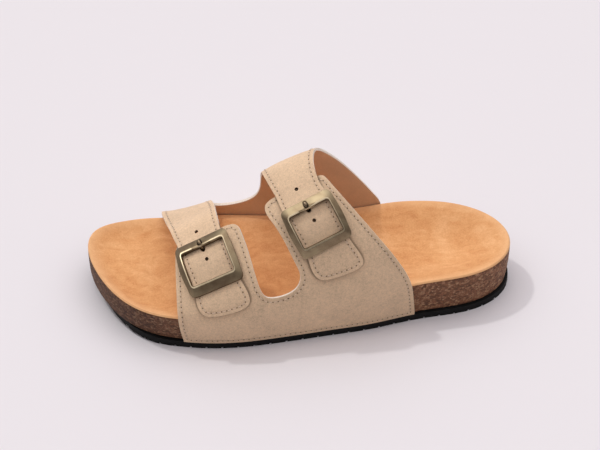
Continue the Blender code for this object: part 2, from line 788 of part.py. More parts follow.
def rod(buckle, margin, rows):
    """Return a rod along the pin's path, thicker than the pin by a margin all round."""
    start, end = buckle.pin_root(), buckle.pin_rest()
    root = buckle.bar_height()
    rest = buckle.frame_height(-end) + BAR_THICKNESS + (PIN_THICKNESS / 2 - NOTCH_DEPTH)
    path = [Vector((start + reach * (end - start), root + rise * (rest - root))) for reach, rise in rows]
    sections = []
    for i, point in enumerate(path):
        run = (path[min(i + 1, len(path) - 1)] - path[max(i - 1, 0)]).normalized()
        normal = Vector((-run.y, run.x))
        taper = 0.7 if i == len(path) - 1 and not margin else 1.0
        points = []
        for corner in range(PIN_SIDES):
            angle = 2 * pi / PIN_SIDES * (corner + 0.5)
            shift = normal * ((PIN_THICKNESS / 2 + margin) * sin(angle) * taper)
            across = (PIN_WIDTH / 2 + margin) * cos(angle) * taper
            points.append(buckle.point(across, -(point.x + shift.x), point.y + shift.y))
        sections.append(points)
    return sweep(sections, closed=False)


def build_pin(name, buckle):
    """Make the pin that comes up through the strap's hole and rests in the top bar's notch."""
    return add_object(name, rod(buckle, 0.0, PIN_ROWS), ((0.30, 0.24, 0.16), 0.35, 1))


def centre_on_floor():
    """Shift the finished meshes so that the origin lies under the middle of the shoe."""
    things = list(bpy.context.scene.objects)
    corners = [vertex.co for thing in things for vertex in thing.data.vertices]
    middle = [(min(c[axis] for c in corners) + max(c[axis] for c in corners)) / 2 for axis in (0, 1)]
    for thing in things:
        thing.data.transform(Matrix.Translation((-middle[0], -middle[1], 0)))


def main():
    """Clear the scene and build the sandal."""
    for thing in list(bpy.data.objects):
        bpy.data.objects.remove(thing)
    build_outsole()
    build_cork()
    build_insole()
    build_upper()
    for end, buckle in (("front", FRONT_BUCKLE), ("rear", REAR_BUCKLE)):
        build_buckle(f"buckle_frame_{end}", buckle)
        build_pin(f"buckle_pin_{end}", buckle)
    centre_on_floor()


main()
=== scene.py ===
"""Looks of the two-strap cork footbed sandal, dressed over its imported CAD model.

Each sub-assembly is a class that copies its CAD nodes, refines them and gives them their finishes:
the rubber outsole, the cork midsole, the suede footbed, the two quarters of the upper with their
stitching, and the two buckles. Lengths are in metres, the toe points along -X and the lateral side,
with the buckles, faces -Y.
"""

import json
import logging
import math
from dataclasses import dataclass, field
from enum import Enum
from typing import Any, Dict, Iterable, List, Optional, Sequence, Tuple, Union

import bmesh
import bpy
from mathutils import Matrix, Vector
from mathutils.bvhtree import BVHTree
from mathutils.kdtree import KDTree

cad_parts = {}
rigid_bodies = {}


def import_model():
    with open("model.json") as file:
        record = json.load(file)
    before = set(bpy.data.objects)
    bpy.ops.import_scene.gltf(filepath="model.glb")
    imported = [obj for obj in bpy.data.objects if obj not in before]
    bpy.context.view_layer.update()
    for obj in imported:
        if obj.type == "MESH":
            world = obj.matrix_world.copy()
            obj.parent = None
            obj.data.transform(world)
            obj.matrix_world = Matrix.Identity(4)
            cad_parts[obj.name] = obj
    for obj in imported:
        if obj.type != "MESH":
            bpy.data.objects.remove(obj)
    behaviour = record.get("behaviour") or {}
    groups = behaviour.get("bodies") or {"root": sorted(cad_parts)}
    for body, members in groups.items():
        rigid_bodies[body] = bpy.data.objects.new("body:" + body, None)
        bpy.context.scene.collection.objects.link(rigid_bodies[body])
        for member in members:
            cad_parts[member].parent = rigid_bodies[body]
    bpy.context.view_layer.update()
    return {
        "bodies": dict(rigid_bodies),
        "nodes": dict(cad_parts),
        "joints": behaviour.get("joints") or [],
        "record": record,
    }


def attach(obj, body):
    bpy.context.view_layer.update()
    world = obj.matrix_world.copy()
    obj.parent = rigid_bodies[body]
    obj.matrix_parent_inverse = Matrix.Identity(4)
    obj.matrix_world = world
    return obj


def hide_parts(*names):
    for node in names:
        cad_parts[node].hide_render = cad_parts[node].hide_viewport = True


LOG = logging.getLogger("sandal")
Colour = Tuple[float, float, float]
Number = Union[float, "Signal"]
Paint = Union[Colour, "Signal"]
Steps = Tuple[Tuple[float, float], ...]

# A point inside the shoe, from which the upper's outer side and the buckles' upper side face away.
SHOE_CORE = (0.0, 0.0, 0.034)
# Corners of the CAD's triangles nearer than this are one corner.
MERGE_DISTANCE = 0.000004
# Limits in degrees for joining two triangles: how far they lean, and how far corners are from square.
QUAD_LEAN = 40.0
QUAD_SKEW = 70.0
# Sockets of a Mix node that mixes colours.
MIX_SHARE, MIX_FIRST, MIX_SECOND, MIX_RESULT = 0, 6, 7, 2


class Slot(Enum):
    """Material slots of the record."""

    RUBBER = "outsole_rubber"
    CORK = "cork"
    SUEDE = "footbed_suede"
    NUBUCK = "upper_nubuck"
    METAL = "buckle_metal"


class Layer(Enum):
    """Layers of a quarter of the upper, in the order of its material slots."""

    OUTER = 0
    LINING = 1
    EDGE = 2
    PUNCHED = 3


# Shader maths


class Signal:
    """A value in a shader, whose arithmetic adds Math nodes."""

    def __init__(self, shader: "Nodes", socket: bpy.types.NodeSocket) -> None:
        """Wrap a socket of a shader."""
        self.shader = shader
        self.socket = socket

    def _math(self, operation: str, *values: Number) -> "Signal":
        """Add a Math node.

        Args:
            operation: The node's operation.
            values: What its inputs take, as numbers or signals.

        Returns:
            The node's result.
        """
        return self.shader.node("ShaderNodeMath", {"operation": operation}, dict(enumerate(values)))

    def __add__(self, other: Number) -> "Signal":
        """Add."""
        return self._math("ADD", self, other)

    __radd__ = __add__

    def __mul__(self, other: Number) -> "Signal":
        """Multiply."""
        return self._math("MULTIPLY", self, other)

    __rmul__ = __mul__

    def __sub__(self, other: Number) -> "Signal":
        """Subtract."""
        return self._math("SUBTRACT", self, other)

    def __rsub__(self, other: Number) -> "Signal":
        """Subtract from a number."""
        return self._math("SUBTRACT", other, self)

    def between(self, low: float, high: float) -> "Signal":
        """Ease from 0 at a low value to 1 at a high one.

        Args:
            low: Where the result is still 0.
            high: Where the result reaches 1.

        Returns:
            The eased value.
        """
        return self.shader.node("ShaderNodeMapRange", {"interpolation_type": "SMOOTHSTEP"}, {
            0: self, 1: low, 2: high, 3: 0.0, 4: 1.0,
        })


class Nodes:
    """A node tree that nodes are added to."""

    def __init__(self, tree: bpy.types.NodeTree) -> None:
        """Take a node tree."""
        self.tree = tree

    def node(
        self, kind: str, settings: Optional[Dict[str, Any]] = None,
        inputs: Optional[Dict[Union[int, str], Any]] = None, output: Union[int, str] = 0,
    ) -> Signal:
        """Add a node.

        Args:
            kind: The node's type.
            settings: Its properties; "stops" are a ramp's places and colours.
            inputs: Values or signals for its sockets, by number or name.
            output: Which socket gives the result.

        Returns:
            The wanted output.
        """
        made = self.tree.nodes.new(kind)
        for key, value in (settings or {}).items():
            if key == "stops":
                while len(made.color_ramp.elements) < len(value):
                    made.color_ramp.elements.new(0.5)
                for element, (place, colour) in zip(made.color_ramp.elements, value):
                    element.position = place
                    element.color = (*colour, 1.0)
            else:
                setattr(made, key, value)
        for key, value in (inputs or {}).items():
            if isinstance(value, Signal):
                self.tree.links.new(value.socket, made.inputs[key])
            else:
                made.inputs[key].default_value = value
        return Signal(self, made.outputs[output])


class Shader(Nodes):
    """A material's nodes, with its main shader."""

    def __init__(self, name: str) -> None:
        """Start a material with one Principled shader."""
        self.material = bpy.data.materials.new(name)
        self.material.use_nodes = True
        super().__init__(self.material.node_tree)
        self.surface = self.tree.nodes["Principled BSDF"]

    def place(self, stretch: Colour = (1.0, 1.0, 1.0)) -> Signal:
        """Return the object's own coordinates, stretched along each axis."""
        here = self.node("ShaderNodeTexCoord", output="Object")
        return self.node("ShaderNodeMapping", inputs={"Vector": here, "Scale": stretch})

    def noise(self, size: float, detail: float = 2.0, rough: float = 0.5, warp: float = 0.0,
              where: Optional[Signal] = None) -> Signal:
        """Add noise.

        Args:
            size: About how large its patches are, in metres.
            detail: How many finer layers it has.
            rough: How strong the finer layers are.
            warp: How far it is distorted.
            where: Its coordinates, if not the object's own.

        Returns:
            The noise, from 0 to 1.
        """
        return self.node("ShaderNodeTexNoise", inputs={
            "Vector": where or self.place(), "Scale": 1 / size, "Detail": detail, "Roughness": rough,
            "Distortion": warp,
        })

    def cells(self, size: float, feature: str = "F1", output: str = "Distance",
              where: Optional[Signal] = None) -> Signal:
        """Add a pattern of cells.

        Args:
            size: About how large the cells are, in metres.
            feature: What the pattern measures.
            output: Which result is wanted.
            where: Its coordinates, if not the object's own.

        Returns:
            The wanted result.
        """
        return self.node("ShaderNodeTexVoronoi", {"feature": feature}, {
            "Vector": where or self.place(), "Scale": 1 / size,
        }, output)

    def ramp(self, value: Signal, stops: Sequence[Tuple[float, Colour]]) -> Signal:
        """Return the colour of a value between stops."""
        return self.node("ShaderNodeValToRGB", {"stops": stops}, {0: value})

    def mix(self, share: Number, first: Paint, second: Paint, blend: str = "MIX") -> Signal:
        """Mix two colours.

        Args:
            share: How much of the second colour shows, from 0 to 1.
            first: The first colour.
            second: The second colour.
            blend: How the second is laid over the first.

        Returns:
            The mixed colour.
        """
        settings = {"data_type": "RGBA", "blend_type": blend}
        paints = [(*paint, 1.0) if isinstance(paint, tuple) else paint for paint in (first, second)]
        inputs = {MIX_SHARE: share, MIX_FIRST: paints[0], MIX_SECOND: paints[1]}
        return self.node("ShaderNodeMix", settings, inputs, MIX_RESULT)

    def attribute(self, name: str) -> Signal:
        """Return a value stored on the piece's points."""
        return self.node("ShaderNodeAttribute", {"attribute_name": name}, output="Fac")

    def relief(self, height: Signal, depth: float, strength: float = 1.0) -> None:
        """Give the surface a relief.

        Args:
            height: The relief's height, from 0 to 1.
            depth: How deep it is, in metres.
            strength: How strongly it shows.
        """
        bump = self.node("ShaderNodeBump", inputs={"Height": height, "Distance": depth, "Strength": strength})
        self.tree.links.new(bump.socket, self.surface.inputs["Normal"])

    def finish(self, **sockets: Any) -> bpy.types.Material:
        """Set the shader's sockets, by names whose underscores stand for spaces.

        Args:
            sockets: Values or signals.

        Returns:
            The finished material.
        """
        for name, value in sockets.items():
            socket = self.surface.inputs[name.replace("_", " ")]
            if isinstance(value, Signal):
                self.tree.links.new(value.socket, socket)
            elif isinstance(value, tuple) and len(value) == 3 and len(socket.default_value) == 4:
                socket.default_value = (*value, 1.0)
            else:
                socket.default_value = value
        return self.material


def shade(colour: Colour, factor: float) -> Colour:
    """Return a colour made lighter or darker."""
    return tuple(min(1.0, c * factor) for c in colour)


def tones(colour: Colour, steps: Steps) -> List[Tuple[float, Colour]]:
    """Return a ramp's stops in tones of one colour.

    Args:
        colour: The middle tone.
        steps: Each stop's place, and how much lighter or darker it is.

    Returns:
        The stops.
    """
    return [(place, shade(colour, factor)) for place, factor in steps]


def ease(share: float) -> float:
    """Return a share from 0 to 1 that starts and ends gently."""
    return share * share * (3 - 2 * share)


# Finishes


@dataclass(frozen=True)
class Nubuck:
    """Buffed nubuck with a fine nap, darker in its seams, with a painted shadow beside the other quarter."""

    colour: Colour = (0.775, 0.555, 0.365)
    steps: Steps = ((0.34, 0.74), (0.47, 0.95), (0.55, 1.04), (0.68, 1.22))
    grain: float = 0.0007
    dust_per_grain: float = 2.6
    blotch: float = 0.016
    seam_share: float = 0.30
    seam_shade: float = 0.62
    # Painted shadow beside the other quarter's edge: how strong it is, how dark, and over what gap it fades.
    painted_shadow_share: float = 0.75
    painted_shadow_tone: float = 0.30
    painted_shadow_fade: Tuple[float, float] = (0.0003, 0.0017)
    depth: float = 0.00022

    def material(self) -> bpy.types.Material:
        """Return the nubuck."""
        s = Shader("taupe nubuck")
        nap = s.noise(self.grain, detail=3.0, rough=0.6)
        dust = s.noise(self.grain * self.dust_per_grain, detail=2.0, rough=0.7)
        cloud = s.noise(self.blotch, detail=4.0, rough=0.55, warp=0.6)
        colour = s.ramp(nap * 0.45 + dust * 0.3 + cloud * 0.25, tones(self.colour, self.steps))
        seam = s.attribute("seam")
        colour = s.mix(seam * self.seam_share, colour, shade(self.colour, self.seam_shade))
        # Painted shadow: darken the nubuck near the other quarter's edge.
        overlap = 1 - s.attribute("overlap").between(*self.painted_shadow_fade)
        colour = s.mix(overlap * self.painted_shadow_share, colour, shade(self.colour, self.painted_shadow_tone))
        s.relief(nap * 0.6 + dust * 0.4 - seam * 0.5, self.depth, strength=0.55)
        return s.finish(
            Base_Color=colour, Roughness=0.88, Sheen_Weight=0.18, Sheen_Roughness=0.45,
            Specular_IOR_Level=0.28,
        )


@dataclass(frozen=True)
class Lining:
    """Smooth lining of the straps."""

    colour: Colour = (0.74, 0.50, 0.325)
    steps: Steps = ((0.32, 0.86), (0.68, 1.12))
    grain: float = 0.0011
    blotch: float = 0.022
    depth: float = 0.00010

    def material(self) -> bpy.types.Material:
        """Return the lining."""
        s = Shader("smooth lining")
        grain = s.noise(self.grain, detail=3.0, rough=0.6)
        cloud = s.noise(self.blotch, detail=3.0, rough=0.5, warp=0.4)
        colour = s.ramp(grain * 0.3 + cloud * 0.7, tones(self.colour, self.steps))
        s.relief(grain, self.depth, strength=0.5)
        return s.finish(Base_Color=colour, Roughness=0.36, Specular_IOR_Level=0.5)


@dataclass(frozen=True)
class CutEdge:
    """Raw edge of the leather, with painted shade where it lies on the other quarter."""

    colour: Colour = (0.88, 0.77, 0.66)
    # The painted shade of the gap where the edge lies on the other quarter.
    painted_gap_shade: Colour = (0.30, 0.20, 0.13)
    steps: Steps = ((0.3, 0.8), (0.7, 1.15))
    fibre: float = 0.0006
    painted_shadow_fade: Tuple[float, float] = (0.0018, 0.0040)
    depth: float = 0.00018

    def material(self) -> bpy.types.Material:
        """Return the cut edge."""
        s = Shader("cut leather edge")
        fibre = s.noise(self.fibre, detail=4.0, rough=0.7)
        colour = s.ramp(fibre, tones(self.colour, self.steps))
        # Painted shade: darken the edge near the other quarter.
        overlap = 1 - s.attribute("overlap").between(*self.painted_shadow_fade)
        colour = s.mix(overlap, colour, self.painted_gap_shade)
        s.relief(fibre, self.depth, strength=0.6)
        return s.finish(Base_Color=colour, Roughness=0.8, Specular_IOR_Level=0.3)


@dataclass(frozen=True)
class Suede:
    """Suede of the footbed, its nap brushed in clouds."""

    colour: Colour = (0.76, 0.375, 0.155)
    dark: Colour = (0.63, 0.265, 0.098)
    light: Colour = (0.88, 0.49, 0.235)
    rim: Colour = (0.92, 0.545, 0.285)
    rim_share: float = 0.55
    grain: float = 0.0009
    stroke: float = 0.0055
    stroke_stretch: Colour = (0.55, 1.0, 1.0)
    blotch: float = 0.026
    depth: float = 0.00030

    def material(self) -> bpy.types.Material:
        """Return the suede."""
        s = Shader("footbed suede")
        nap = s.noise(self.grain, detail=4.0, rough=0.65)
        brushed = s.noise(self.stroke, detail=5.0, rough=0.62, warp=0.8, where=s.place(self.stroke_stretch))
        cloud = s.noise(self.blotch, detail=4.0, rough=0.55, warp=0.9)
        tone = nap * 0.34 + brushed * 0.36 + cloud * 0.30
        colour = s.ramp(tone, ((0.35, self.dark), (0.50, self.colour), (0.64, self.light)))
        colour = s.mix(s.attribute("rim") * self.rim_share, colour, self.rim)
        s.relief(nap * 0.7 + brushed * 0.3, self.depth, strength=0.5)
        return s.finish(
            Base_Color=colour, Roughness=0.92, Sheen_Weight=0.22, Sheen_Roughness=0.4,
            Sheen_Tint=(1.0, 0.86, 0.70, 1.0), Specular_IOR_Level=0.25,
        )


@dataclass(frozen=True)
class Cork:
    """Pressed cork granules in a dark binder, with painted shade towards the toe."""

    colour: Colour = (0.275, 0.118, 0.058)
    toe_painted_shade: float = 0.50
    granule: float = 0.0017
    steps: Steps = ((0.10, 0.34), (0.34, 0.72), (0.60, 1.25))
    palest: Colour = (0.52, 0.30, 0.17)
    fleck_per_granule: float = 0.45
    sway: float = 0.004
    bend: float = 0.0014
    bend_scale: float = 380.0
    stretch: Colour = (1.0, 1.0, 1.25)
    binder_width: float = 0.16
    dent_width: float = 0.25
    binder_share: float = 0.55
    binder_shade: float = 0.35
    toe_shade_fade: Tuple[float, float] = (-0.12, -0.02)
    depth: float = 0.00035

    def material(self) -> bpy.types.Material:
        """Return the cork."""
        s = Shader("pressed cork")
        sway = s.noise(self.sway, detail=2.0, rough=0.5)
        wander = s.node("ShaderNodeTexNoise", inputs={
            "Vector": s.place(), "Scale": self.bend_scale,
        }, output="Color")
        shift = s.node("ShaderNodeVectorMath", {"operation": "SCALE"}, {0: wander, "Scale": self.bend})
        bent = s.node("ShaderNodeVectorMath", {"operation": "ADD"}, {0: s.place(self.stretch), 1: shift})
        chunks = s.cells(self.granule, "F1", "Color", bent)
        edges = s.cells(self.granule, "DISTANCE_TO_EDGE", "Distance", bent)
        small = s.cells(self.granule * self.fleck_per_granule, "F1", "Color", bent)
        pick = s.node("ShaderNodeSeparateColor", inputs={0: chunks})
        fleck = s.node("ShaderNodeSeparateColor", inputs={0: small})
        stops = tones(self.colour, self.steps) + [(0.84, self.palest)]
        colour = s.ramp(pick * 0.6 + fleck * 0.28 + sway * 0.12, stops)
        binder = 1 - edges.between(0.0, self.binder_width)
        colour = s.mix(binder * self.binder_share, colour, shade(self.colour, self.binder_shade))
        # Painted shade: darken the cork towards the toe.
        along = s.node("ShaderNodeSeparateXYZ", inputs={0: s.place()}, output=0)
        colour = s.mix(1 - along.between(*self.toe_shade_fade), colour, (self.toe_painted_shade,) * 3, "MULTIPLY")
        s.relief(edges.between(0.0, self.dent_width) * 0.7 + fleck * 0.3, self.depth, strength=0.7)
        return s.finish(Base_Color=colour, Roughness=0.72, Specular_IOR_Level=0.38)


@dataclass(frozen=True)
class Rubber:
    """Black rubber, dulled by handling, with a fine tread below."""

    colour: Colour = (0.006, 0.006, 0.006)
    steps: Steps = ((0.35, 1.0), (0.75, 2.0))
    grain: float = 0.0009
    scuff: float = 0.009
    underside: Tuple[float, float] = (-0.9, -0.6)
    tread_scale: float = 190.0
    depth: float = 0.0004

    def material(self) -> bpy.types.Material:
        """Return the rubber."""
        s = Shader("black rubber")
        grain = s.noise(self.grain, detail=3.0, rough=0.6)
        scuff = s.noise(self.scuff, detail=4.0, rough=0.6, warp=0.5)
        colour = s.ramp(scuff, tones(self.colour, self.steps))
        normal = s.node("ShaderNodeNewGeometry", output="Normal")
        upward = s.node("ShaderNodeSeparateXYZ", inputs={0: normal}, output=2)
        below = 1 - upward.between(*self.underside)
        tread = s.node("ShaderNodeTexWave", {"wave_type": "BANDS", "bands_direction": "X"}, {
            "Vector": s.place(), "Scale": self.tread_scale, "Distortion": 2.4, "Detail": 1.0,
            "Detail Scale": 0.6,
        })
        s.relief(grain * 0.25 + tread * below * 0.75, self.depth, strength=0.6)
        return s.finish(Base_Color=colour, Roughness=0.55 + scuff * 0.2, Specular_IOR_Level=0.16)


@dataclass(frozen=True)
class AntiqueBrass:
    """Brass with a brown patina, with painted shade round the pin's end."""

    name: str = "antique brass"
    colour: Colour = (0.36, 0.285, 0.175)
    patina: Colour = (0.215, 0.152, 0.092)
    pin_shade: Colour = (0.045, 0.030, 0.018)
    wear: float = 0.5
    roughness: float = 0.42
    blotch: float = 0.009
    grain: float = 0.0005
    pin_shade_width: Tuple[float, float] = (0.0013, 0.0019)
    pin_shade_length: Tuple[float, float] = (0.0022, 0.0032)
    depth: float = 0.00003

    def material(self, tip: Optional[Vector] = None, run: Optional[Vector] = None) -> bpy.types.Material:
        """Return the brass.

        Args:
            tip: The middle of the pin's end, round which shade is painted.
            run: The direction of the pin there.

        Returns:
            The material.
        """
        s = Shader(self.name)
        cloud = s.noise(self.blotch, detail=3.0, rough=0.5, warp=0.3)
        fine = s.noise(self.grain, detail=3.0, rough=0.6)
        tone = cloud * 0.75 + fine * 0.25
        worn = tone.between(0.50 - self.wear * 0.4, 0.85 - self.wear * 0.3)
        colour = s.mix(worn, self.patina, self.colour)
        # Painted shade round the pin's end, where it sits in its notch.
        if tip is not None:
            away = s.node("ShaderNodeVectorMath", {"operation": "SUBTRACT"}, {0: s.place(), 1: tuple(tip)})
            aside = s.node("ShaderNodeVectorMath", {"operation": "CROSS_PRODUCT"}, {0: away, 1: tuple(run)})
            off_line = s.node("ShaderNodeVectorMath", {"operation": "LENGTH"}, {0: aside}, 1)
            off_tip = s.node("ShaderNodeVectorMath", {"operation": "LENGTH"}, {0: away}, 1)
            pin_shade_mask = (1 - off_line.between(*self.pin_shade_width)) * (1 - off_tip.between(*self.pin_shade_length))
            colour = s.mix(pin_shade_mask, colour, self.pin_shade)
        s.relief(fine, self.depth, strength=0.25)
        return s.finish(Base_Color=colour, Metallic=1.0, Roughness=self.roughness + fine * 0.10)


@dataclass(frozen=True)
class Thread:
    """Sewing thread sunk in the nubuck."""

    colour: Colour = (0.76, 0.58, 0.43)
    steps: Steps = ((0.35, 0.82), (0.65, 1.1))
    ply: float = 0.0004
    ply_stretch: Colour = (1.0, 2.0, 2.0)
    depth: float = 0.00006

    def material(self) -> bpy.types.Material:
        """Return the thread."""
        s = Shader("sewing thread")
        ply = s.noise(self.ply, detail=2.0, rough=0.5, where=s.place(self.ply_stretch))
        colour = s.ramp(ply, tones(self.colour, self.steps))
        s.relief(ply, self.depth, strength=0.5)
        return s.finish(Base_Color=colour, Roughness=0.7, Sheen_Weight=0.2)


@dataclass(frozen=True)
class DarkHollow:
    """Painted shade inside a needle hole or a punched hole."""

    name: str = "needle hole"
    colour: Colour = (0.13, 0.080, 0.050)
    steps: Steps = ((0.3, 0.7), (0.7, 1.4))
    grain: float = 0.0005

    def material(self) -> bpy.types.Material:
        """Return the hollow's finish."""
        s = Shader(self.name)
        colour = s.ramp(s.noise(self.grain, detail=2.0, rough=0.5), tones(self.colour, self.steps))
        return s.finish(Base_Color=colour, Roughness=0.95, Specular_IOR_Level=0.1)


@dataclass(frozen=True)
class Paper:
    """Seamless studio paper."""

    colour: Colour = (0.80, 0.765, 0.79)
    steps: Steps = ((0.0, 0.998), (1.0, 1.002))
    fibre: float = 0.02

    def material(self) -> bpy.types.Material:
        """Return the paper."""
        s = Shader("studio paper")
        colour = s.ramp(s.noise(self.fibre, detail=2.0, rough=0.5), tones(self.colour, self.steps))
        return s.finish(Base_Color=colour, Roughness=0.95, Specular_IOR_Level=0.1)


# Modelling


def pick_only(thing: bpy.types.Object) -> None:
    """Select one object and make it active."""
    bpy.ops.object.select_all(action="DESELECT")
    thing.select_set(True)
    bpy.context.view_layer.objects.active = thing


def edit_all() -> None:
    """Open the active object for editing, with all of it selected."""
    bpy.ops.object.mode_set(mode="EDIT")
    bpy.ops.mesh.select_all(action="SELECT")


def copy_of(node: bpy.types.Object, name: str) -> bpy.types.Object:
    """Copy a CAD node and merge its loose triangles.

    Args:
        node: The CAD node's object.
        name: The new piece's name.

    Returns:
        A closed piece at the origin.
    """
    piece = bpy.data.objects.new(name, node.data.copy())
    bpy.context.scene.collection.objects.link(piece)
    piece.data.name = name
    piece.data.materials.clear()
    pick_only(piece)
    edit_all()
    bpy.ops.mesh.remove_doubles(threshold=MERGE_DISTANCE)
    bpy.ops.object.mode_set(mode="OBJECT")
    bpy.ops.mesh.customdata_custom_splitnormals_clear()
    return piece


def quads_from_triangles(piece: bpy.types.Object) -> None:
    """Join pairs of triangles that are nearly flat and nearly square together."""
    pick_only(piece)
    edit_all()
    bpy.ops.mesh.tris_convert_to_quads(
        face_threshold=math.radians(QUAD_LEAN), shape_threshold=math.radians(QUAD_SKEW),
    )
    bpy.ops.object.mode_set(mode="OBJECT")


def add_modifier(piece: bpy.types.Object, kind: str, **settings: Any) -> None:
    """Add a modifier and apply it.

    Args:
        piece: The piece that gets it.
        kind: The modifier's type.
        settings: Its properties.
    """
    pick_only(piece)
    modifier = piece.modifiers.new(kind.title(), kind)
    for key, value in settings.items():
        setattr(modifier, key, value)
    bpy.ops.object.modifier_apply(modifier=modifier.name)


def round_edges(piece: bpy.types.Object, width: float, angle: float, segments: int = 2) -> None:
    """Bevel the sharp edges.

    Args:
        piece: The piece.
        width: How wide the bevel is, in metres.
        angle: The angle in degrees from which an edge is sharp.
        segments: How many strips the bevel has.
    """
    add_modifier(
        piece, "BEVEL", width=width, segments=segments, limit_method="ANGLE",
        angle_limit=math.radians(angle), material=-1, use_clamp_overlap=True, harden_normals=False,
    )


def shade_smooth(piece: bpy.types.Object, angle: float) -> None:
    """Shade a piece smooth across edges flatter than an angle in degrees."""
    pick_only(piece)
    bpy.ops.object.shade_smooth_by_angle(angle=math.radians(angle))


def smooth_surface(piece: bpy.types.Object, angle: float) -> None:
    """Smooth a piece with a subdivision surface, and shade it smooth up to an angle in degrees."""
    add_modifier(piece, "SUBSURF", levels=2, render_levels=2)
    shade_smooth(piece, angle)


def store(piece: bpy.types.Object, name: str, values: Sequence[float]) -> None:
    """Store a value on each point.

    Args:
        piece: The piece.
        name: What the value is called.
        values: One for each of its points.
    """
    attribute = piece.data.attributes.new(name, "FLOAT", "POINT")
    attribute.data.foreach_set("value", values)


def tree_of(points: Sequence[Vector]) -> KDTree:
    """Return a tree that finds the nearest of the points, by their number."""
    tree = KDTree(len(points))
    for i, point in enumerate(points):
        tree.insert(point, i)
    tree.balance()
    return tree


def dress(piece: bpy.types.Object, materials: Iterable[bpy.types.Material]) -> bpy.types.Object:
    """Give a piece its materials, and let it ride with the shoe.

    Args:
        piece: The finished mesh, at the origin.
        materials: Its materials, in the order of its faces' numbers.

    Returns:
        The piece.
    """
    for material in materials:
        piece.data.materials.append(material)
    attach(piece, "root")
    LOG.info("%s: %d faces", piece.name, len(piece.data.polygons))
    return piece


def flat_patches(mesh: bmesh.types.BMesh, angle: float) -> List[List[bmesh.types.BMFace]]:
    """Group faces that join across edges flatter than an angle.

    Args:
        mesh: A closed mesh.
        angle: The limit, in degrees.

    Returns:
        The groups, largest area first.
    """
    limit = math.radians(angle)
    groups: List[List[bmesh.types.BMFace]] = []
    seen = set()
    for start in mesh.faces:
        if start in seen:
            continue
        group, front = [], [start]
        seen.add(start)
        while front:
            face = front.pop()
            group.append(face)
            for edge in face.edges:
                if len(edge.link_faces) == 2 and edge.calc_face_angle(0.0) < limit:
                    for other in edge.link_faces:
                        if other not in seen:
                            seen.add(other)
                            front.append(other)
        groups.append(group)
    return sorted(groups, key=lambda g: -sum(f.calc_area() for f in g))


def border_loops(faces: Sequence[bmesh.types.BMFace]) -> List[List[Vector]]:
    """Find the borders of a patch.

    Args:
        faces: The patch's faces.

    Returns:
        Its borders, as closed chains of points.
    """
    inside = set(faces)
    following: Dict[Any, Any] = {}
    for face in faces:
        for loop in face.loops:
            if any(other not in inside for other in loop.edge.link_faces):
                following[loop.vert] = loop.link_loop_next.vert
    chains = []
    while following:
        start, step = following.popitem()
        chain = [start.co.copy()]
        while step is not start and step in following:
            chain.append(step.co.copy())
            step = following.pop(step)
        chains.append(chain)
    return chains


def resample(chain: Sequence[Vector], spacing: float, closed: bool) -> List[Vector]:
    """Return points evenly spaced along a chain.

    Args:
        chain: The chain's points.
        spacing: About how far apart the new points are.
        closed: Whether the chain's end joins its start.

    Returns:
        The new points.
    """
    points = list(chain) + ([chain[0]] if closed else [])
    lengths = [0.0]
    for a, b in zip(points, points[1:]):
        lengths.append(lengths[-1] + (b - a).length)
    count = max(3, round(lengths[-1] / spacing))
    made, span = [], 0
    for i in range(count):
        wanted = lengths[-1] * i / (count if closed else count - 1)
        while span < len(points) - 2 and lengths[span + 1] < wanted:
            span += 1
        step = lengths[span + 1] - lengths[span]
        made.append(points[span].lerp(points[span + 1], (wanted - lengths[span]) / step if step else 0.0))
    return made


# Sub-assemblies


@dataclass
class Sole:
    """Rubber outsole under the cork."""

    smooth_angle: float = 32.0

    def build(self, nodes: Dict[str, bpy.types.Object]) -> bpy.types.Object:
        """Refine and dress the outsole."""
        piece = copy_of(nodes["outsole"], "rubber_outsole")
        shade_smooth(piece, self.smooth_angle)
        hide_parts("outsole")
        return dress(piece, [Rubber().material()])


@dataclass
class Midsole:
    """Cork midsole."""

    edge: float = 0.0004
    sharp_angle: float = 38.0
    smooth_angle: float = 60.0

    def build(self, nodes: Dict[str, bpy.types.Object]) -> bpy.types.Object:
        """Refine and dress the cork."""
        piece = copy_of(nodes["cork_midsole"], "cork_body")
        quads_from_triangles(piece)
        round_edges(piece, self.edge, self.sharp_angle)
        smooth_surface(piece, self.smooth_angle)
        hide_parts("cork_midsole")
        return dress(piece, [Cork().material()])


@dataclass
class Footbed:
    """Suede cover of the footbed."""

    edge: float = 0.00022
    sharp_angle: float = 38.0
    smooth_angle: float = 60.0
    rim_width: float = 0.0075
    length_per_width: float = 2.2
    sector: int = 2

    def build(self, nodes: Dict[str, bpy.types.Object]) -> bpy.types.Object:
        """Refine and dress the suede, lighter towards its rim."""
        piece = copy_of(nodes["insole"], "suede_footbed")
        quads_from_triangles(piece)
        round_edges(piece, self.edge, self.sharp_angle)
        smooth_surface(piece, self.smooth_angle)
        store(piece, "rim", self.nearness_to_rim(piece))
        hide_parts("insole")
        return dress(piece, [Suede().material()])

    def nearness_to_rim(self, piece: bpy.types.Object) -> List[float]:
        """Return how near each point is to the outline, from 0 inside to 1 on it."""
        points = [v.co for v in piece.data.vertices]
        middle = sum(p.x for p in points) / len(points)
        outline: Dict[int, Vector] = {}
        for point in points:
            angle = math.atan2(point.y * self.length_per_width, point.x - middle)
            turn = int(math.degrees(angle)) // self.sector
            reach = (point.x - middle) ** 2 + point.y**2
            if turn not in outline or reach > outline[turn].z:
                outline[turn] = Vector((point.x, point.y, reach))
        tree = tree_of([Vector((spot.x, spot.y, 0.0)) for spot in outline.values()])
        near = []
        for point in points:
            distance = tree.find((point.x, point.y, 0.0))[2]
            near.append(ease(max(0.0, 1 - distance / self.rim_width)))
        return near


